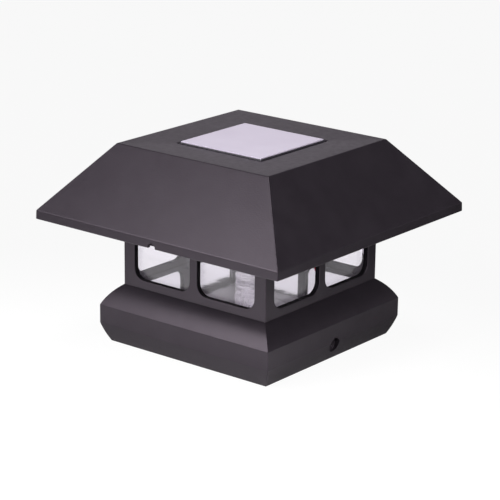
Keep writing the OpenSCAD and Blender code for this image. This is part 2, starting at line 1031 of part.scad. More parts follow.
module lamp_lead(side, pad, arch) {
    lead_between([0, side * lamp_pad_y, z_lamp_pad], lead_stub, board_pad(pad), arch);
}

module switch_lead(side, pad) {
    lead_between(
        [switch_x, slot_y + side * switch_pad_y, switch_top + end_gap], lead_stub,
        board_pad(pad), 2 * lead_stub
    );
}

module panel_lead_red() {
    color(lead_red)
    panel_lead(1, 1.5);
}

module panel_lead_black() {
    color(lead_black)
    panel_lead(-1, 0.5);
}

module battery_lead_red() {
    color(lead_red)
    battery_lead(1, 2.5);
}

module battery_lead_black() {
    color(lead_black)
    battery_lead(-1, -2.5);
}

module lamp_lead_red() {
    color(lead_red)
    lamp_lead(-1, -0.5, lead_stub);
}

module lamp_lead_black() {
    color(lead_black)
    lamp_lead(1, -1.5, clamp_t + 2 * lead_stub);
}

module switch_lead_red() {
    color(lead_red)
    switch_lead(-1, 4.5);
}

module switch_lead_black() {
    color(lead_black)
    switch_lead(1, 3.5);
}

base_skirt();
lantern_frame();
lens_box();
reflector_plate();
frame_screws();
frame_washers();
roof_shell();
panel_cover();
solar_cell();
panel_backing();
panel_sealant();
soffit_plate();
soffit_screws();
light_housing();
housing_screws();
light_column();
lamp_board();
lamp_led();
column_clamp();
clamp_screws();
battery();
spring_contact();
plate_contact();
battery_door();
control_board();
board_screws();
driver_chip();
inductor();
switch_body();
switch_knob();
panel_lead_red();
panel_lead_black();
battery_lead_red();
battery_lead_black();
lamp_lead_red();
lamp_lead_black();
switch_lead_red();
switch_lead_black();
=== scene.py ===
import math

import bmesh
import bpy
import numpy as np
from mathutils import Matrix, Vector


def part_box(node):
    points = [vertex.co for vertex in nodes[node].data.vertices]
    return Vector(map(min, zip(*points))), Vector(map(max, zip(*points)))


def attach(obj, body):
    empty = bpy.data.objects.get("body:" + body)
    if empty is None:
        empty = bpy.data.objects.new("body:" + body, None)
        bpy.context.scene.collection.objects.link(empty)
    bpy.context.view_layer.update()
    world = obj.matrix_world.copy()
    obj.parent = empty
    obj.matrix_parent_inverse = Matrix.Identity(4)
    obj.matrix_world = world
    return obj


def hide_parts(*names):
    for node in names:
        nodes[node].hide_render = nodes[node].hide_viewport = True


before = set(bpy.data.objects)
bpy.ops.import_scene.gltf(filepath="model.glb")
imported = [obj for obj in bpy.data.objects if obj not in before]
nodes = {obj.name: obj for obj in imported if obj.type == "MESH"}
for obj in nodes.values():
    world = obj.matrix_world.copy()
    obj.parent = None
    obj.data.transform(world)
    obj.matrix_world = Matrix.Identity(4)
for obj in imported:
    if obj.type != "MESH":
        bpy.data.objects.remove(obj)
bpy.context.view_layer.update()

# Solar post cap light: rounded mouldings over the fixed frame. The frame and the studio are in
# metres, and the pieces' dictionaries are in millimetres.
mm = 0.001
print("frame loaded,", len(nodes), "nodes")


# Lowest and highest corner of a node, in mm.
def boxOf(name):
    low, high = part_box(name)
    return np.array(low) / mm, np.array(high) / mm


# Outline through corners (x, z, radius, bow). Each corner is an arc about
# corner + bisector * radius / sin(angle / 2). The straight run after a corner has its points at
# 0.5 - 0.5 cos(pi t) of its length, and stands out by the corner's bow * 4 t (1 - t).
def outline(corners, arcSteps=5, runSteps=7):
    points = np.array([c[:2] for c in corners], float)
    radii = [c[2] if len(c) > 2 else 0 for c in corners]
    bows = [c[3] if len(c) > 3 else 0 for c in corners]
    starts, ends, arcs = [], [], []
    for i, p in enumerate(points):
        if radii[i] == 0 or i in (0, len(points) - 1):
            starts.append(p)
            ends.append(p)
            arcs.append(p[None])
            continue
        u = points[i - 1] - p
        v = points[i + 1] - p
        u, v = u / np.linalg.norm(u), v / np.linalg.norm(v)
        angle = math.acos(np.clip(u @ v, -1, 1))
        reach = radii[i] / math.tan(angle / 2)
        centre = p + (u + v) / np.linalg.norm(u + v) * radii[i] / math.sin(angle / 2)
        a, b = p + u * reach - centre, p + v * reach - centre
        turn = math.pi - angle
        t = np.linspace(0, 1, arcSteps + 1)[:, None]
        arcs.append(centre + (np.sin((1 - t) * turn) * a + np.sin(t * turn) * b) / math.sin(turn))
        starts.append(p + u * reach)
        ends.append(p + v * reach)
    line = [arcs[0]]
    for i in range(1, len(points)):
        a, b = ends[i - 1], starts[i]
        t = 0.5 - 0.5 * np.cos(np.pi * np.linspace(0, 1, runSteps + 1)[1:-1, None])
        along = b - a
        normal = np.array([-along[1], along[0]]) / max(np.linalg.norm(along), 1e-9)
        line += [a + along * t + normal * bows[i - 1] * 4 * t * (1 - t), arcs[i]]
    return np.concatenate(line)


# Ring of directions around a square: a point is (half - r) * corner + r * outward.
def squareRing(along, arcSteps=6):
    corner, outward = [], []
    for k in range(4):
        n = np.array([math.cos(k * math.pi / 2), math.sin(k * math.pi / 2)])
        t = np.array([-n[1], n[0]])
        corner.append(n + along[:, None] * t)
        outward.append(np.repeat(n[None], len(along), 0))
        a = np.linspace(0, np.pi / 2, arcSteps + 1)[1:-1, None]
        corner.append(np.repeat((n + t)[None], len(a), 0))
        outward.append(np.cos(a) * n + np.sin(a) * t)
    return np.concatenate(corner), np.concatenate(outward)


# Outline carried around a square: rows are outline points, columns are places on the ring.
def squareSweep(line, radius, along):
    corner, outward = squareRing(along)
    half, height = line.T
    r = np.minimum(radius, half)
    xy = (half - r)[:, None, None] * corner + r[:, None, None] * outward
    z = np.repeat(height[:, None, None], len(corner), 1)
    return np.concatenate([xy, z], 2)


# Places along a side of the square, -cos(pi t), so closer together towards its ends.
def sideSpacing(count):
    return np.round(-np.cos(np.pi * np.linspace(0, 1, count)), 6)


# Outline turned about the upright axis: x = r cos(a), y = r sin(a).
def lathe(line, steps=48):
    a = np.arange(steps) / steps * 2 * np.pi
    x = line[:, :1] * np.cos(a)
    y = line[:, :1] * np.sin(a)
    z = np.repeat(line[:, 1:], steps, 1)
    return np.stack([x, y, z], 2)


# Quads of a grid whose columns close on themselves.
def gridFaces(rows, columns, closedRows):
    i = np.arange(rows if closedRows else rows - 1)[:, None]
    j = np.arange(columns)[None]
    i2, j2 = (i + 1) % rows, (j + 1) % columns
    quads = np.stack([i * columns + j, i * columns + j2, i2 * columns + j2, i2 * columns + j], 2)
    return quads.reshape(-1, 4)


# One mesh from several grids in mm, with seams and poles merged and faces outwards.
def makeMesh(name, grids, closedRows=False):
    points, faces, count = [], [], 0
    for grid in grids:
        rows, columns = grid.shape[:2]
        points.append(grid.reshape(-1, 3) * mm)
        faces.append(gridFaces(rows, columns, closedRows) + count)
        count += rows * columns
    mesh = bpy.data.meshes.new(name)
    mesh.from_pydata(np.concatenate(points), [], np.concatenate(faces).tolist())
    shape = bmesh.new()
    shape.from_mesh(mesh)
    bmesh.ops.remove_doubles(shape, verts=shape.verts, dist=0.002 * mm)
    bmesh.ops.dissolve_degenerate(shape, edges=shape.edges, dist=0.001 * mm)
    bmesh.ops.recalc_face_normals(shape, faces=shape.faces)
    shape.to_mesh(mesh)
    shape.free()
    return mesh


def makeObject(name, mesh):
    piece = bpy.data.objects.new(name, mesh)
    bpy.context.scene.collection.objects.link(piece)
    return piece


# Cuts the given meshes out of a piece, or joins them on, and keeps the result as its mesh.
def combine(piece, meshes, operation):
    for i, mesh in enumerate(meshes):
        tool = makeObject(piece.name + "Tool" + str(i), mesh)
        step = piece.modifiers.new("cut", "BOOLEAN")
        step.object = tool
        step.operation = operation
        step.solver = "EXACT"
        bpy.context.view_layer.update()
        graph = bpy.context.evaluated_depsgraph_get()
        done = bpy.data.meshes.new_from_object(piece.evaluated_get(graph))
        piece.modifiers.clear()
        piece.data = done
        bpy.data.objects.remove(tool)


# Smooth shading with crisp edges over the given angle in degrees, big faces staying flat.
def finishPiece(piece, material, body, replaced, crease=35):
    mesh = piece.data
    mesh.materials.clear()
    mesh.materials.append(material)
    mesh.polygons.foreach_set("use_smooth", np.ones(len(mesh.polygons), bool))
    mesh.set_sharp_from_angle(angle=math.radians(crease))
    weigh = piece.modifiers.new("flatFaces", "WEIGHTED_NORMAL")
    weigh.keep_sharp = True
    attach(piece, body)
    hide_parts(*replaced)


# sRGB hex to linear: c / 12.92 when dark, else ((c + 0.055) / 1.055) to the power 2.4.
def linear(code):
    c = np.array([int(code[i : i + 2], 16) for i in (1, 3, 5)]) / 255
    c = np.where(c <= 0.04045, c / 12.92, ((c + 0.055) / 1.055) ** 2.4)
    return (*c, 1)


# Adds a node with its settings, socket values and links.
def addNode(tree, kind, values=None, links=None, **settings):
    node = tree.nodes.new(kind)
    for name, value in settings.items():
        setattr(node, name, value)
    for name, value in (values or {}).items():
        node.inputs[name].default_value = value
    for name, source in (links or {}).items():
        tree.links.new(source, node.inputs[name])
    return node


# A new material with one shader, whose socket values are given with _ for a space.
def newMaterial(name, **values):
    material = bpy.data.materials.new(name)
    material.use_nodes = True
    tree = material.node_tree
    tree.nodes.clear()
    sockets = {key.replace("_", " "): value for key, value in values.items()}
    shader = addNode(tree, "ShaderNodeBsdfPrincipled", sockets)
    addNode(tree, "ShaderNodeOutputMaterial", links={"Surface": shader.outputs[0]})
    place = addNode(tree, "ShaderNodeTexCoord").outputs["Object"]
    return material, tree, shader, place


# Noise of a real grain size in mm, turned to a value from low to high. Most of the noise lies
# between 0.3 and 0.7.
def grain(tree, place, size, low, high, detail=2.0):
    values = {"Scale": 1 / (size * mm), "Detail": detail}
    noise = addNode(tree, "ShaderNodeTexNoise", values, {"Vector": place})
    spread = {"From Min": 0.3, "From Max": 0.7, "To Min": low, "To Max": high}
    return addNode(tree, "ShaderNodeMapRange", spread, {"Value": noise.outputs["Fac"]}).outputs[0]


# Colour that drifts between two hex values with a noise of the given size in mm.
def drift(tree, place, shader, size, first, second):
    colours = {6: linear(first), 7: linear(second)}
    share = {0: grain(tree, place, size, 0, 1)}
    mix = addNode(tree, "ShaderNodeMix", colours, share, data_type="RGBA")
    tree.links.new(mix.outputs[2], shader.inputs["Base Color"])


# Uneven surface: noise of the given size that stands out by the given depth, both in mm.
def unevenness(tree, place, shader, size, depth, detail=2.0):
    height = {"Height": grain(tree, place, size, 0, 1, detail)}
    node = addNode(tree, "ShaderNodeBump", {"Distance": depth * mm, "Strength": 1.0}, height)
    tree.links.new(node.outputs[0], shader.inputs["Normal"])


# Puts another shader at a material's surface.
def giveSurface(tree, socket):
    output = next(n for n in tree.nodes if n.type == "OUTPUT_MATERIAL")
    tree.links.new(socket, output.inputs["Surface"])


satin = {
    "colour": ("#221e23", "#272328"),
    # painted shade: the reveals' colour is darker than the mouldings' for the shade in the window openings
    "revealPaintedShadeColour": ("#121013", "#161417"),
    "soffitColour": ("#29252a", "#2e2a2f"),
    "housingColour": ("#d2cfd2", "#dad7da"),
    "roughness": (0.32, 0.37),
    "revealRoughness": (0.7, 0.8),
    "soffitRoughness": (0.5, 0.6),
    "housingRoughness": (0.35, 0.45),
    "revealPaintedShadeGloss": 0.12,
    "gloss": "#ffeeff",  # the pigment gives the sheen a faint violet
    "grain": 0.9,  # spark-eroded mould texture, drawn coarser than its 0.1 mm so that it shows
    "grainDepth": 0.018,
    "ripple": 14.0,  # flow clouds of the moulding
    "mottle": 3.0,
}


# ABS from a spark-eroded mould: a soft sheen that breaks up in a fine, even tooth.
def makeSatinAbs(name, colour, roughness):
    gloss = linear(satin["gloss"])
    material, tree, shader, place = newMaterial(name, IOR=1.52, Specular_Tint=gloss)
    drift(tree, place, shader, satin["ripple"], *colour)
    tree.links.new(grain(tree, place, satin["mottle"], *roughness), shader.inputs["Roughness"])
    unevenness(tree, place, shader, satin["grain"], satin["grainDepth"], detail=3.0)
    return material, shader


# the mouldings are nearly black, with a soft wide highlight
blackAbs = makeSatinAbs("satinBlackAbs", satin["colour"], satin["roughness"])[0]
# painted shade: the windows' reveals get a nearly black colour and almost no sheen, standing in for the
# shade inside the window openings
revealPaintedShadeAbs, revealPaintedShadeShader = makeSatinAbs("revealPaintedShadeMaterial", satin["revealPaintedShadeColour"], satin["revealRoughness"])
revealPaintedShadeShader.inputs["Specular IOR Level"].default_value = satin["revealPaintedShadeGloss"]
# the soffit is a shade paler and duller than the roof
soffitAbs = makeSatinAbs("soffitAbs", satin["soffitColour"], satin["soffitRoughness"])[0]
# the moulded parts around the lamp are a plain off-white
whiteAbs = makeSatinAbs("whiteHousingAbs", satin["housingColour"], satin["housingRoughness"])[0]

acrylic = {
    "body": "#f6f4f8",
    "milk": "#efeaf1",
    "paintedGlowColour": "#f2ebf5",
    "lens": {"roughness": 0.01, "straight": 0.0, "veil": 0.02, "paintedGlow": 0.0},
    "column": {"roughness": 0.02, "straight": 0.1, "veil": 0.16, "paintedGlow": 0.07},
}


# Moulded clear acrylic: the straight share of the light goes through unbent, the rest is bent, and a
# milky veil lies over both. Lamp light passes it without a dark shadow.
def makeClearAcrylic(name, roughness, straight, veil, paintedGlow):
    body = linear(acrylic["body"])
    material, tree, shader, place = newMaterial(
        name, IOR=1.49, Base_Color=body, Transmission_Weight=1.0, Roughness=roughness
    )
    # painted glow: emission makes the acrylic shine of its own
    if paintedGlow:
        shader.inputs["Emission Color"].default_value = linear(acrylic["paintedGlowColour"])
        shader.inputs["Emission Strength"].default_value = paintedGlow
    milk = addNode(tree, "ShaderNodeBsdfDiffuse", {"Color": linear(acrylic["milk"])}).outputs[0]
    clear = addNode(tree, "ShaderNodeBsdfTransparent").outputs[0]
    shadowRay = addNode(tree, "ShaderNodeLightPath").outputs["Is Shadow Ray"]
    passes = addNode(tree, "ShaderNodeMixShader", links={0: shadowRay, 1: shader.outputs[0], 2: clear})
    walls = addNode(tree, "ShaderNodeMixShader", {0: straight}, {1: passes.outputs[0], 2: clear})
    mixed = addNode(tree, "ShaderNodeMixShader", {0: veil}, {1: walls.outputs[0], 2: milk})
    giveSurface(tree, mixed.outputs[0])
    return material


lensAcrylic = makeClearAcrylic("clearLensAcrylic", **acrylic["lens"])
# painted glow: a faint emission stands in for the light that the fluted column gathers, so it looks pale
# and milky; the column is no lamp
columnAcrylic = makeClearAcrylic("flutedColumnAcrylic", **acrylic["column"])


# Metallised polyester sheet: a bright mirror, slightly blurred, with faint waves.
def makeMetallisedSheet():
    material, tree, shader, place = newMaterial(
        "metallisedSheet", Base_Color=linear("#f2f0f4"), Metallic=1.0, Roughness=0.06
    )
    unevenness(tree, place, shader, 9.0, 0.02)
    return material


# Zinc plated steel: grey metal with a fine turned grain.
def makeZincSteel():
    material, tree, shader, place = newMaterial("zincPlatedSteel", Metallic=1.0)
    drift(tree, place, shader, 2.0, "#a9abb0", "#c3c4c8")
    tree.links.new(grain(tree, place, 0.6, 0.22, 0.4), shader.inputs["Roughness"])
    return material


# Cover sheet of the solar panel, with a soft gloss: its pale lilac colour is a painted reflection of the
# bright room at a low angle, and it hides the cell.
def makePanelSheet():
    material, tree, shader, place = newMaterial(
        "panelSheetPaintedGlare", IOR=1.5, Roughness=0.32, Coat_Weight=0.4, Coat_Roughness=0.15
    )
    # painted reflection: the pale lilac stands in for the glare on the cover
    drift(tree, place, shader, 20.0, "#bdb4c6", "#c4bccd")
    unevenness(tree, place, shader, 0.8, 0.006)
    return material


# A plain moulded, cast or lacquered finish, with a slight drift of colour and sheen.
def makePlain(name, first, second, roughness, size=6.0, **values):
    material, tree, shader, place = newMaterial(name, **values)
    drift(tree, place, shader, size, first, second)
    tree.links.new(grain(tree, place, size * 0.5, *roughness), shader.inputs["Roughness"])
    return material


metallised = makeMetallisedSheet()
zincSteel = makeZincSteel()
panelSheet = makePanelSheet()
# sawn silicon: smooth and dark blue
siliconCell = makePlain("siliconCell", "#1a1c38", "#23264a", (0.12, 0.2))
# the panel's bare glass fibre back: pale and matt
panelBoard = makePlain("panelGlassFibre", "#dcd8d0", "#e6e3dc", (0.5, 0.6))
# silicone from a nozzle: dark, with a wet sheen
sealant = makePlain("siliconeSealant", "#29262c", "#302d33", (0.3, 0.4))
# solder mask on glass fibre: glossy green
solderMask = makePlain("greenSolderMask", "#1f5b38", "#2a6f45", (0.25, 0.35))
# cast epoxy lamp: clear, a little yellow
lampEpoxy = makePlain("clearLampEpoxy", "#e9e6cf", "#f2f0de", (0.08, 0.12), Transmission_Weight=0.4)
# shrunk film round the cell: green and smooth
sleeve = makePlain("shrinkSleeve", "#3f8550", "#4a9059", (0.25, 0.32))
# moulded chip package: matt black
package = makePlain("mouldedPackage", "#1a1a1d", "#232327", (0.45, 0.6))
# dipped inductor: shiny green
lacquer = makePlain("inductorLacquer", "#3a7a4b", "#44874f", (0.2, 0.3))
# moulded knob: red, with a soft gloss
knobRed = makePlain("redKnobAbs", "#bb1f2a", "#c82833", (0.28, 0.36))
# vinyl on the leads: smooth and a little dull
redInsulation = makePlain("redInsulation", "#a81f28", "#b8262f", (0.35, 0.45))
blackInsulation = makePlain("blackInsulation", "#151517", "#1d1d20", (0.35, 0.45))
print("materials made")


baseSizes = {
    "bandLow": 10.6,
    "shoulder": 21.0,
    "rimHalf": 53.5,
    "wall": 2.3,
    "plate": 2.5,
    "upperBow": 0.9,
    "lowerBow": 0.3,
    "neckEdge": 0.3,
    "edge": 0.7,
    "rimEdge": 0.5,
    "rimInnerEdge": 0.4,
    "innerEdge": 0.6,
    "cornerRadius": 0.35,
    "holeHeight": 9.0,
    "holeRadius": 2.25,
    "headRadius": 4.0,
    "seat": 3.2,
    "holeEdge": 0.2,
    "holeReach": (40, 70),  # from the middle, so that the cutter clears the wall
    "bossRadius": 6.0,
    "bossPast": 1.6,
    "socketHalf": 51.2,
    "socketDepth": 24.0,
    "stopHalf": 44.2,
    "ribs": (-39.0, -13.0, 13.0, 39.0),
    "ribThickness": 2.0,
    "ribFoot": 3.0,
}


# Skirt with its plate and socket wall as one outline around the square. The screw bosses and holes
# are lathed outlines laid on their side.
def makeBase():
    s = baseSizes
    bandHalf, top = boxOf("base_skirt")[1][[0, 2]]
    neckHalf = boxOf("lantern_frame")[1][0]
    run = (bandHalf - neckHalf) / (top - s["shoulder"])
    wall = s["wall"] * math.hypot(1, run)
    line = outline(
        [
            (0, top),
            (neckHalf, top, s["neckEdge"], s["upperBow"]),
            (bandHalf, s["shoulder"], s["edge"]),
            (bandHalf, s["bandLow"], s["edge"], s["lowerBow"]),
            (s["rimHalf"], 0, s["rimEdge"]),
            (s["rimHalf"] - s["wall"], 0, s["rimInnerEdge"]),
            (bandHalf - s["wall"], s["bandLow"], s["innerEdge"]),
            (bandHalf - s["wall"], s["shoulder"] - (wall - s["wall"]) / run, s["innerEdge"]),
            (neckHalf + s["plate"] * run - wall, top - s["plate"], s["innerEdge"]),
            (0, top - s["plate"]),
        ],
        runSteps=9,
    )
    grid = squareSweep(line, s["cornerRadius"], sideSpacing(25))
    piece = makeObject("baseSkirt", makeMesh("baseSkirt", [grid]))
    bossEnd = s["rimHalf"] + s["bossPast"]
    bossLine = np.array([
        (0, s["socketHalf"]), (s["bossRadius"], s["socketHalf"]), (s["bossRadius"], bossEnd), (0, bossEnd),
    ])
    inner, outer = s["holeReach"]
    seat = s["socketHalf"] + s["seat"]
    holeLine = outline([
        (0, inner), (s["holeRadius"], inner), (s["holeRadius"], seat, s["holeEdge"]),
        (s["headRadius"], seat, s["holeEdge"]), (s["headRadius"], outer), (0, outer),
    ])
    bosses, holes = [], []
    for side in (-1, 1):
        for made, shape in ((bosses, bossLine), (holes, holeLine)):
            x, y, z = np.moveaxis(lathe(shape), 2, 0)
            made.append(makeMesh("tool", [np.stack([side * z, y, x + s["holeHeight"]], 2)]))
    combine(piece, [makeRibs(bandHalf, neckHalf, top)] + bosses, "UNION")
    combine(piece, holes, "DIFFERENCE")
    finishPiece(piece, blackAbs, "base", ["base_skirt"], crease=30)


# Upright ribs that guide the post and stop it: each is an outline pushed through its thickness, with
# its back halfway in the wall.
def makeRibs(bandHalf, neckHalf, top):
    s = baseSizes
    inWall, inPlate = s["wall"] / 2, s["plate"] / 2
    side = np.array([
        (s["socketHalf"], s["ribFoot"]), (s["rimHalf"] - inWall, s["ribFoot"]),
        (bandHalf - inWall, s["bandLow"]), (bandHalf - inWall, s["shoulder"] - inWall),
        (neckHalf, top - inPlate), (s["stopHalf"], top - inPlate),
        (s["stopHalf"], s["socketDepth"]), (s["socketHalf"], s["socketDepth"]),
    ])
    middle = side.mean(0, keepdims=True).repeat(len(side), 0)
    grids = []
    for k in range(4):
        a = k * math.pi / 2
        turn = np.array([[math.cos(a), math.sin(a)], [-math.sin(a), math.cos(a)]])
        for at in s["ribs"]:
            low, high = at - s["ribThickness"] / 2, at + s["ribThickness"] / 2
            rings = ((middle, low), (side, low), (side, high), (middle, high))
            grid = np.stack([np.c_[ring[:, 0], np.full(len(ring), y), ring[:, 1]] for ring, y in rings])
            grid[..., :2] = grid[..., :2] @ turn
            grids.append(grid)
    return makeMesh("ribTool", grids)


makeBase()
print("base made")


frameSizes = {
    "wall": 3.0,
    "floor": 1.0,
    "cornerRadius": 0.6,
    "lowEdge": 0.25,
    "topEdge": 0.5,
    "innerEdge": 0.4,
    "windowWidth": 38.4,
    "windowHeight": 25.1,
    "windowRadius": 6.3,
    "mullion": 5.2,
    "sill": 4.6,
    "edge": 0.5,
    "cutPast": 2,
    # the painted shade of the reveals covers the faces between these two depths
    "revealFrom": 0.3,  # the reveal is dull from this far inside the outer face
    "revealTo": 0.1,  # and up to this far from the inner face
}


# Rounded rectangle: about each corner's centre, (radius + offset) * (cos a, sin a).
def roundRectangle(width, height, radius, offset, steps=10):
    points = []
    for k, (sx, sz) in enumerate([(1, 1), (-1, 1), (-1, -1), (1, -1)]):
        a = (k + np.linspace(0, 1, steps + 1)) * np.pi / 2
        centre = np.array([sx * (width / 2 - radius), sz * (height / 2 - radius)])
        points.append(centre + (radius + offset) * np.stack([np.cos(a), np.sin(a)], 1))
    return np.concatenate(points)


# Tray-shaped outline around the square, cut through by four pairs of windows. Each cutter runs
# through both walls and flares by a quarter circle, edge * (1 - sqrt(1 - t t)), where it leaves them.
def makeLanternFrame():
    s = frameSizes
    half, top = boxOf("lantern_frame")[1][[0, 2]]
    bottom = boxOf("base_skirt")[1][2]
    line = outline([
        (0, bottom),
        (half, bottom, s["lowEdge"]),
        (half, top, s["topEdge"]),
        (half - s["wall"], top, s["innerEdge"]),
        (half - s["wall"], bottom + s["floor"], s["innerEdge"]),
        (0, bottom + s["floor"]),
    ])
    radius = np.where(line[:, 0] > half - s["wall"] / 2, s["cornerRadius"], s["cornerRadius"] / 2)
    grid = squareSweep(line, radius, sideSpacing(11))
    piece = makeObject("lanternFrame", makeMesh("lanternFrame", [grid]))
    t = np.linspace(0, 1, 6)
    flare = s["edge"] * (1 - np.sqrt(1 - t**2))
    depth = half - s["edge"] + s["edge"] * t
    reach = half + s["cutPast"]
    offsets = np.r_[s["edge"], flare[::-1], flare, s["edge"]]
    depths = np.r_[-reach, -depth[::-1], depth, reach]
    middle = bottom + s["sill"] + s["windowHeight"] / 2
    cutters = []
    for turned in (False, True):
        for side in (-1, 1):
            rings = []
            for offset, d in zip(offsets, depths):
                loop = roundRectangle(s["windowWidth"], s["windowHeight"], s["windowRadius"], offset)
                across = loop[:, 0] + side * (s["mullion"] + s["windowWidth"]) / 2
                through = np.full(len(loop), d)
                xy = (through, across) if turned else (across, through)
                rings.append(np.stack([*xy, loop[:, 1] + middle], 1))
            ends = [r.mean(0, keepdims=True).repeat(len(r), 0) for r in (rings[0], rings[-1])]
            cutters.append(makeMesh("windowTool", [np.stack([ends[0], *rings, ends[1]])]))
    combine(piece, cutters, "DIFFERENCE")
    finishPiece(piece, blackAbs, "base", ["lantern_frame"], crease=32)
    paintShadeOnReveals(piece.data, half, bottom, top)


# Paints shade on the faces inside a wall's thickness, in the windows' reach, that don't face
# out of the wall: they get the nearly black, nearly glossless reveal material.
def paintShadeOnReveals(mesh, half, bottom, top):
    s = frameSizes
    # painted shade: the second slot holds the nearly black reveal material
    mesh.materials.append(revealPaintedShadeAbs)
    centre = np.empty(len(mesh.polygons) * 3)
    normal = np.empty(len(mesh.polygons) * 3)
    mesh.polygons.foreach_get("center", centre)
    mesh.polygons.foreach_get("normal", normal)
    centre, normal = np.abs(centre.reshape(-1, 3) / mm), np.abs(normal.reshape(-1, 3))
    height = centre[:, 2]
    inReveal = np.zeros(len(centre), bool)
    for k in (0, 1):
        depth, across = centre[:, k], centre[:, 1 - k]
        inWall = (depth > half - s["wall"] + s["revealTo"]) & (depth < half - s["revealFrom"])
        inWindow = across < s["mullion"] / 2 + s["windowWidth"] + s["edge"]
        inWindow &= (height > bottom + s["sill"] / 2) & (height < top - s["wall"] / 2)
        inReveal |= inWall & inWindow & (normal[:, k] < 0.5)
    mesh.polygons.foreach_set("material_index", inReveal.astype(np.int32))


makeLanternFrame()
print("lantern frame made")


roofSizes = {
    "fasciaDraft": 0.15,
    "fascia": 4.9,
    "deckHalf": 50.95,
    "wall": 2.2,
    "dishDepth": 0.6,
    "dishMargin": 1.4,
    "dishRadius": 6.0,
    "dishCorner": 6.0,
    "pocketGap": 0.8,
    "pocketEdge": 1.6,
    "tubFloor": 1.8,
    "tubEdge": 0.3,
    "soffit": 1.8,
    "edge": 0.8,
    "gutterEdge": 1.3,
    "eaveEdge": 0.5,
    "eaveInnerEdge": 0.4,
    "ledgeIn": 0.6,
    "ledgeEdge": 0.2,
    "gutterInnerEdge": 0.5,
    "ceilingDrop": 0.2,
    "ceilingEdge": 0.6,
    "slack": 0.05,
    "cornerRadius": 0.35,
    "notchRadius": 2.5,
    "notchUp": 0.4,
    "cutPast": 2,
}


# Roof, dished deck, panel tub and eave as one outline around the square. The dish's mitres are
# rounded by 4 u (1 - u) of the dish's corner, u being the way from the panel to the deck's edge.
def makeRoof():
    s = roofSizes
    low, high = boxOf("roof_shell")
    eaveHalf, eave, deck = high[0], low[2], high[2]
    gutterHalf, gutter = eaveHalf - s["fasciaDraft"], eave + s["fascia"]
    run = (gutterHalf - s["deckHalf"]) / (deck - gutter)
    wallAcross = s["wall"] * math.hypot(1, run)
    pocketHalf = boxOf("panel_cover")[1][0] + s["pocketGap"]
    pocket = boxOf("panel_sealant")[0][2] - s["slack"]
    ledge = boxOf("soffit_plate")[0][2] + s["soffit"] + s["slack"]
    ledgeHalf = gutterHalf - wallAcross - s["ledgeIn"]
    ceiling = deck - s["dishDepth"] - s["wall"] - s["ceilingDrop"]
    dishEdge = s["deckHalf"] - s["dishMargin"]
    line = outline(
        [
            (0, pocket),
            (pocketHalf, pocket, s["tubEdge"]),
            (pocketHalf, deck - s["dishDepth"], s["pocketEdge"]),
            (dishEdge, deck, s["dishRadius"]),
            (s["deckHalf"], deck, s["edge"]),
            (gutterHalf, gutter, s["gutterEdge"]),
            (eaveHalf, eave, s["eaveEdge"]),
            (eaveHalf - s["wall"], eave, s["eaveInnerEdge"]),
            (eaveHalf - s["wall"], ledge, s["ledgeEdge"]),
            (ledgeHalf, ledge, s["ledgeEdge"]),
            (ledgeHalf, gutter + s["ledgeIn"] / run, s["gutterInnerEdge"]),
            (s["deckHalf"] - wallAcross + (deck - ceiling) * run, ceiling, s["ceilingEdge"]),
            (pocketHalf + s["tubFloor"], ceiling, s["tubEdge"]),
            (pocketHalf + s["tubFloor"], pocket - s["tubFloor"], s["tubEdge"]),
            (0, pocket - s["tubFloor"]),
        ],
        runSteps=8,
    )
    half, height = line.T
    inDish = (half > pocketHalf) & (half < dishEdge) & (height > deck - s["dishDepth"] - 0.1)
    u = np.clip((half - pocketHalf) / (dishEdge - pocketHalf), 0, 1)
    mitre = s["cornerRadius"] + s["dishCorner"] * 4 * u * (1 - u)
    grid = squareSweep(line, np.where(inDish, mitre, s["cornerRadius"]), sideSpacing(25))
    piece = makeObject("roofShell", makeMesh("roofShell", [grid]))
    # the notches: one lathed rod through both eaves
    reach = eaveHalf + s["cutPast"]
    rod = np.array([(0, -reach), (s["notchRadius"], -reach), (s["notchRadius"], reach), (0, reach)])
    x, y, z = np.moveaxis(lathe(rod), 2, 0)
    notch = makeMesh("notchTool", [np.stack([x, z, y + eave + s["notchUp"]], 2)])
    combine(piece, [notch], "DIFFERENCE")
    finishPiece(piece, blackAbs, "roof", ["roof_shell"], crease=32)


makeRoof()
print("roof made")


panelSizes = {
    "edge": 0.25,
    "underEdge": 0.1,
    "cornerRadius": 0.2,
    "bead": 0.4,
    "beadWidth": 5.0,
    "beadGap": 0.05,
    "beadFoot": 0.2,
    "beadTop": 0.15,
    "beadBow": 0.1,
}


def makePanelCover():
    s = panelSizes
    low, high = boxOf("panel_cover")
    line = outline([
        (0, high[2]), (high[0], high[2], s["edge"]), (high[0], low[2], s["underEdge"]), (0, low[2]),
    ])
    grid = squareSweep(line, s["cornerRadius"], sideSpacing(9))
    piece = makeObject("panelCover", makeMesh("panelCover", [grid]))
    finishPiece(piece, panelSheet, "roof", ["panel_cover"])


# Bead under the panel and up its edge, where its face bulges a little down to the dish.
def makePanelBead():
    s = panelSizes
    half = boxOf("panel_cover")[1][0] + s["beadGap"]
    low, high = boxOf("panel_sealant")
    dish = boxOf("roof_shell")[1][2] - roofSizes["dishDepth"]
    line = outline([
        (half - s["beadWidth"], low[2]), (high[0], low[2]), (high[0], dish, s["beadFoot"], s["beadBow"]),
        (half, high[2], s["beadTop"]), (half, low[2] + s["bead"]),
        (half - s["beadWidth"], low[2] + s["bead"]),
    ])
    grid = squareSweep(line, s["cornerRadius"], sideSpacing(9))
    piece = makeObject("panelBead", makeMesh("panelBead", [grid], closedRows=True))
    finishPiece(piece, sealant, "roof", ["panel_sealant"])


makePanelCover()
makePanelBead()
print("panel made")


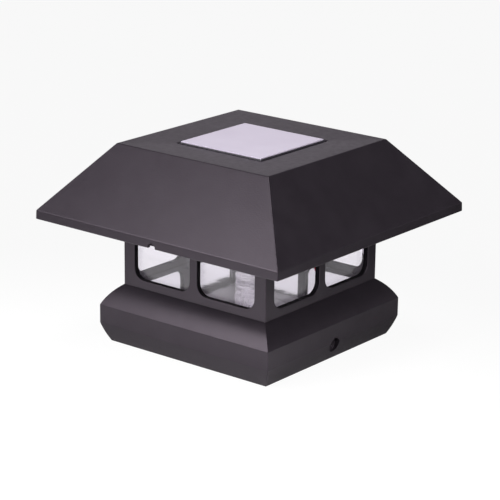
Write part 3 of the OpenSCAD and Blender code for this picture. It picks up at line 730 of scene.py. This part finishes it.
columnSizes = {
    "radius": 8.0,
    "footIn": 1.2,
    "footEdge": 0.3,
    "footSlope": 0.3,
    "footLift": 0.4,
    "beadFrom": 0.6,
    "beadHeight": 3.0,
    "beadWaist": 1.1,
    "shaftFrom": 1.9,
    "boreRadius": 3.2,
    "boreEdge": 0.3,
    "boreEnd": 1.2,
    "solidFoot": 6.0,
    "flutes": 20,
    "fluteSteps": 12,
    "fluteDepth": 0.75,
    "fluteFade": 0.8,
    "fluteStop": 0.6,
    "flangeRadius": 10.5,
    "flangeEdge": 0.2,
    "flange": 1.5,
    "housingLow": 56.0,  # height of the housing's underside, where the flutes end
}


# Lathed column. Over its foot two beads swell as sin(pi t), and along its shaft the radius is less by
# depth * cos(a)^2 over the half of each flute's turn where cos(a) is positive.
def makeColumn():
    s = columnSizes
    low, high = boxOf("light_column")
    foot, top = low[2], high[2]
    radius, waist = s["radius"], s["beadWaist"]
    t = np.linspace(0, 1, 13)
    swell = radius - waist + waist * np.sin(np.pi * t)
    beadLow = foot + s["beadFrom"]
    beads = [np.stack([swell, beadLow + s["beadHeight"] * (k + t)], 1) for k in (0, 1)]
    shaftLow = foot + s["shaftFrom"] + 2 * s["beadHeight"]
    shaft = np.stack([np.full(14, radius), np.linspace(shaftLow, top - s["flange"], 14)], 1)
    tip = outline([
        (0, foot), (radius - s["footIn"], foot, s["footEdge"]),
        (radius - s["footSlope"], foot + s["footLift"]),
    ])
    bore = outline([
        (s["flangeRadius"], top - s["flange"]), (s["flangeRadius"], top, s["flangeEdge"]),
        (s["boreRadius"], top, s["boreEdge"]), (s["boreRadius"], foot + s["solidFoot"], s["boreEnd"]),
        (0, foot + s["solidFoot"]),
    ])
    line = np.concatenate([tip, *beads, [[radius - waist, shaftLow - 1]], shaft, bore])
    steps = s["flutes"] * s["fluteSteps"]
    grid = lathe(line, steps)
    a = np.arange(steps) / steps * 2 * np.pi * s["flutes"]
    depth = s["fluteDepth"] * np.maximum(np.cos(a), 0) ** 2
    half, height = line.T
    onShaft = (np.abs(half - radius) < 0.01) & (height > shaftLow - 0.01)
    start = np.clip((height - shaftLow) / s["fluteFade"], 0, 1)
    end = np.clip((s["housingLow"] - s["fluteStop"] - height) / s["fluteFade"], 0, 1)
    shrink = 1 - (onShaft * (start * end))[:, None] * depth / radius
    grid[..., :2] *= shrink[..., None]
    piece = makeObject("lightColumn", makeMesh("lightColumn", [grid]))
    finishPiece(piece, columnAcrylic, "roof", ["light_column"], crease=50)


makeColumn()
print("column made")


screwSizes = {
    "head": 2.8,
    "headHeight": 2.0,
    "domeShare": 0.8,
    "domeDrop": 0.25,
    "rimShare": 0.75,
    "rimEdge": 0.4,
    "underEdge": 0.15,
    "shank": 1.15,
    "slotHalf": 0.4,
    "slotReach": 1.6,
    "slotDepth": 1.0,
    "slotBand": 0.3,
}
# for each node of screws: its piece, the shank's length, whether the head points down, and its body
screwSets = {
    "frame_screws": ("frameScrews", 4.3, True, "base"),
    "soffit_screws": ("soffitScrews", 10, True, "roof"),
    "housing_screws": ("housingScrews", 3.4, False, "roof"),
    "clamp_screws": ("clampScrews", 5, False, "roof"),
    "board_screws": ("boardScrews", 5, False, "roof"),
}


# Pan head over a shank. The dome falls by drop * t t towards its rim, and the top sinks for the cross
# recess where |x| or |y| is under half a slot.
def screwGrid(length, up):
    s = screwSizes
    h, r = s["headHeight"], s["head"]
    t = np.linspace(0, 1, 13)
    dome = np.stack([r * s["domeShare"] * t, h - s["domeDrop"] * t**2], 1)
    rim = outline([
        (r * s["domeShare"], h - s["domeDrop"]), (r, h * s["rimShare"], s["rimEdge"]),
        (r, 0, s["underEdge"]), (s["shank"], 0), (s["shank"], -length), (0, -length),
    ])
    grid = lathe(np.concatenate([dome, rim]))
    x, y, z = np.moveaxis(grid, 2, 0)
    inSlot = np.minimum(np.abs(x), np.abs(y)) < s["slotHalf"]
    onTop = z > h - s["slotBand"]
    grid[..., 2] -= s["slotDepth"] * (inSlot & onTop & (np.hypot(x, y) < s["slotReach"]))
    return grid * [1, -1, -1] if up else grid


def makeScrews(node, name, length, up, body):
    low, high = boxOf(node)
    seat = low[2] + screwSizes["headHeight"] if up else high[2] - screwSizes["headHeight"]
    points = np.array([v.co for v in nodes[node].data.vertices]) / mm
    grids = [screwGrid(length, up) + np.array((x, y, seat)) for x, y in screwSpots(points)]
    piece = makeObject(name, makeMesh(name, grids))
    finishPiece(piece, zincSteel, body, [node])


# Middles of the screws of one node: its points fall in groups further apart than a head.
def screwSpots(points):
    spots = []
    left = points[:, :2]
    while len(left):
        near = np.linalg.norm(left - left[0], axis=1) < 4 * screwSizes["head"]
        group = left[near]
        spots.append((group.max(0) + group.min(0)) / 2)
        left = left[~near]
    return spots


for node, values in screwSets.items():
    makeScrews(node, *values)
print("screws made")


# finishes of the frame's own nodes that stay as they are
finishes = {
    "lens_box": lensAcrylic,
    "reflector_plate": metallised,
    "frame_washers": zincSteel,
    "soffit_plate": soffitAbs,
    "light_housing": whiteAbs,
    "column_clamp": whiteAbs,
    "battery_door": whiteAbs,
    "solar_cell": siliconCell,
    "panel_backing": panelBoard,
    "lamp_board": solderMask,
    "control_board": solderMask,
    "lamp_led": lampEpoxy,
    "battery": sleeve,
    "spring_contact": zincSteel,
    "plate_contact": zincSteel,
    "driver_chip": package,
    "switch_body": package,
    "inductor": lacquer,
    "switch_knob": knobRed,
}
for lead in ("panel_lead", "battery_lead", "lamp_lead", "switch_lead"):
    finishes[lead + "_red"] = redInsulation
    finishes[lead + "_black"] = blackInsulation
for name, material in finishes.items():
    for materialSlot in nodes[name].material_slots:
        materialSlot.material = material
print("finishes given")


# levels are shares of plain white, places are in metres and powers in watts
studio = {
    "floorColour": "#f4f4f4",
    "floorHalf": 12.0,
    "paperWhite": 1.06,  # a little over white, because the mix still holds some of the lit paper
    "paperLift": 0.88,  # how far the camera sees the paper as plain white
    "windowLift": 1.0,  # the same for paper and room seen through the windows
    # painted light: the paper's colour is darkened to this share away from the painted pool of light
    "paintedLightDim": 0.1,  # what is left of the paper's light away from its bright spot
    "paintedLightSpot": (0.09, -0.26, 0.0),
    "paintedLightReach": (0.15, 0.45),
    "roomColour": "#fdf6ff",
    "roomDim": 0.25,  # what is left of the room's light at the back right
    "dimTowards": (0.8, 0.6, 0),
    "dimReach": (-0.05, 0.45),  # cosines to that direction between which it fades
    "cardTurn": (-141.5, 15.5),  # azimuth from the front and elevation of the card behind the light
    "cardReach": (6.5, 3.0),  # degrees from its middle between which it comes up
    "cardDim": 0.35,  # level of the room beside the card
    "cardSide": (0.2, 0.7),  # cosines to the card between which the room falls to that level
    "skyLow": 1.0,
    "skyHigh": 0.12,
    "skyTurn": (15, 24),  # degrees above the horizon
    "key": {"place": (-0.165, -0.52, 0.4), "size": (0.5, 0.45), "power": 3.4},
    "top": {"place": (0.05, 0.1, 1.3), "size": (0.6, 0.6), "power": 8.5},
    "fill": {"place": (0.75, -0.15, 0.45), "size": (0.6, 0.6), "power": 4.2},
    "target": (0, 0, 0.055),
}


# Socket values of a range that turns start to end into low to high.
def rangeOf(start, end, low, high):
    return {"From Min": start, "From Max": end, "To Min": low, "To Max": high}


# Pale seamless paper, its colour painted darker away from a painted pool of light in front of the
# light. It is lifted to white where the camera sees it, and where it is seen through a window.
def makeFloor():
    s = studio
    half = s["floorHalf"]
    corners = [(-half, -half, 0), (half, -half, 0), (half, half, 0), (-half, half, 0)]
    mesh = bpy.data.meshes.new("studioFloor")
    mesh.from_pydata(corners, [], [(0, 1, 2, 3)])
    floor = makeObject("studioFloor", mesh)
    paper = linear(s["floorColour"])
    material, tree, shader, place = newMaterial("paperFloor", Roughness=0.9, Specular_IOR_Level=0.1)
    away = addNode(
        tree, "ShaderNodeVectorMath", {1: s["paintedLightSpot"]}, {0: place}, operation="DISTANCE"
    ).outputs["Value"]
    dim = addNode(
        tree, "ShaderNodeMapRange", rangeOf(*s["paintedLightReach"], 1.0, s["paintedLightDim"]), {"Value": away},
        interpolation_type="SMOOTHSTEP",
    ).outputs[0]
    # painted light: the base colour darkens away from the painted pool of light
    tone = addNode(tree, "ShaderNodeMix", {6: (0, 0, 0, 1), 7: paper}, {0: dim}, data_type="RGBA")
    tree.links.new(tone.outputs[2], shader.inputs["Base Color"])
    light = addNode(tree, "ShaderNodeLightPath").outputs
    through = addNode(
        tree, "ShaderNodeMath", {1: s["windowLift"]}, {0: light["Is Transmission Ray"]},
        operation="MULTIPLY",
    ).outputs[0]
    lift = addNode(
        tree, "ShaderNodeMath", {1: s["paperLift"]}, {0: light["Is Camera Ray"], 2: through},
        operation="MULTIPLY_ADD",
    ).outputs[0]
    white = addNode(tree, "ShaderNodeEmission", {"Strength": s["paperWhite"]}).outputs[0]
    both = addNode(tree, "ShaderNodeMixShader", links={0: lift, 1: shader.outputs[0], 2: white})
    giveSurface(tree, both.outputs[0])
    mesh.materials.append(material)


# The room: pale near the horizon and dim overhead, dimmer to the back right, with a pale card behind
# the light for its inner mirror. Level is height * side * the brighter of card and front.
def makeWorld():
    s = studio
    world = bpy.data.worlds.new("studioRoom")
    bpy.context.scene.world = world
    world.use_nodes = True
    tree = world.node_tree
    tree.nodes.clear()
    place = addNode(tree, "ShaderNodeTexCoord").outputs["Generated"]
    height = addNode(tree, "ShaderNodeSeparateXYZ", links={0: place}).outputs["Z"]
    skyFrom, skyTo = (math.sin(math.radians(v)) for v in s["skyTurn"])
    level = addNode(
        tree, "ShaderNodeMapRange", rangeOf(skyFrom, skyTo, s["skyLow"], s["skyHigh"]), {"Value": height},
        interpolation_type="SMOOTHSTEP",
    ).outputs[0]
    across = addNode(
        tree, "ShaderNodeVectorMath", {1: s["dimTowards"]}, {0: place}, operation="DOT_PRODUCT"
    ).outputs["Value"]
    side = addNode(
        tree, "ShaderNodeMapRange", rangeOf(*s["dimReach"], 1.0, s["roomDim"]), {"Value": across},
        interpolation_type="SMOOTHSTEP",
    ).outputs[0]
    a, e = (math.radians(v) for v in s["cardTurn"])
    middle = (math.sin(a) * math.cos(e), -math.cos(a) * math.cos(e), math.sin(e))
    toCard = addNode(
        tree, "ShaderNodeVectorMath", {1: middle}, {0: place}, operation="DOT_PRODUCT"
    ).outputs["Value"]
    far, near = (math.cos(math.radians(v)) for v in s["cardReach"])
    card = addNode(
        tree, "ShaderNodeMapRange", rangeOf(far, near, s["cardDim"], 1.0), {"Value": toCard},
        interpolation_type="SMOOTHSTEP",
    ).outputs[0]
    front = addNode(
        tree, "ShaderNodeMapRange", rangeOf(*s["cardSide"], 1.0, s["cardDim"]), {"Value": toCard}
    ).outputs[0]
    lit = addNode(tree, "ShaderNodeMath", links={0: front, 1: card}, operation="MAXIMUM").outputs[0]
    sideways = addNode(tree, "ShaderNodeMath", links={0: side, 1: lit}, operation="MULTIPLY").outputs[0]
    strength = addNode(
        tree, "ShaderNodeMath", links={0: level, 1: sideways}, operation="MULTIPLY"
    ).outputs[0]
    room = {"Color": linear(s["roomColour"])}
    sky = addNode(tree, "ShaderNodeBackground", room, {"Strength": strength}).outputs[0]
    # to the camera, and through the windows, the room is plain white
    white = addNode(tree, "ShaderNodeBackground", {"Color": (1, 1, 1, 1), "Strength": 1.0}).outputs[0]
    light = addNode(tree, "ShaderNodeLightPath").outputs
    lift = addNode(
        tree, "ShaderNodeMath", {1: s["windowLift"]},
        {0: light["Is Transmission Ray"], 2: light["Is Camera Ray"]}, operation="MULTIPLY_ADD",
    ).outputs[0]
    both = addNode(tree, "ShaderNodeMixShader", links={0: lift, 1: sky, 2: white}).outputs[0]
    addNode(tree, "ShaderNodeOutputWorld", links={"Surface": both})


def addLamp(name, place, size, power):
    lamp = bpy.data.lights.new(name, "AREA")
    lamp.shape = "RECTANGLE"
    lamp.size, lamp.size_y = size
    lamp.energy = power
    holder = bpy.data.objects.new(name, lamp)
    bpy.context.scene.collection.objects.link(holder)
    aim = Vector(studio["target"]) - Vector(place)
    holder.location = place
    holder.rotation_euler = aim.to_track_quat("-Z", "Y").to_euler()


makeFloor()
makeWorld()
addLamp("keyLamp", **studio["key"])
addLamp("topLamp", **studio["top"])
addLamp("fillLamp", **studio["fill"])

# camera fitted to the object's edges in the photograph, in degrees and mm
view = {
    "azimuth": 38.541,
    "elevation": 17.362,
    "roll": 0.758,
    "distance": 1096.76,
    "aim": 49.843,
    "aimRight": -0.537,
    "focal": 2029.09,  # in pixels of a frame 500 pixels wide
    "frame": 500,
    "sensor": 36.0,
}


def makeCamera():
    a, e, r = (math.radians(view[k]) for k in ("azimuth", "elevation", "roll"))
    back = Vector((math.sin(a) * math.cos(e), -math.cos(a) * math.cos(e), math.sin(e)))
    right = Vector((math.cos(a), math.sin(a), 0))
    up = back.cross(right)
    target = Vector((0, 0, view["aim"] * mm)) + right * view["aimRight"] * mm
    right, up = math.cos(r) * right + math.sin(r) * up, math.cos(r) * up - math.sin(r) * right
    lens = bpy.data.cameras.new("photoCamera")
    lens.sensor_width = view["sensor"]
    lens.lens = view["focal"] / view["frame"] * view["sensor"]
    lens.clip_end = 50
    camera = bpy.data.objects.new("photoCamera", lens)
    bpy.context.scene.collection.objects.link(camera)
    turned = Matrix((right, up, back)).transposed().to_4x4()
    turned.translation = target + back * view["distance"] * mm
    camera.matrix_world = turned
    bpy.context.scene.camera = camera


makeCamera()
bpy.context.scene.view_settings.view_transform = "Standard"
print("studio made")
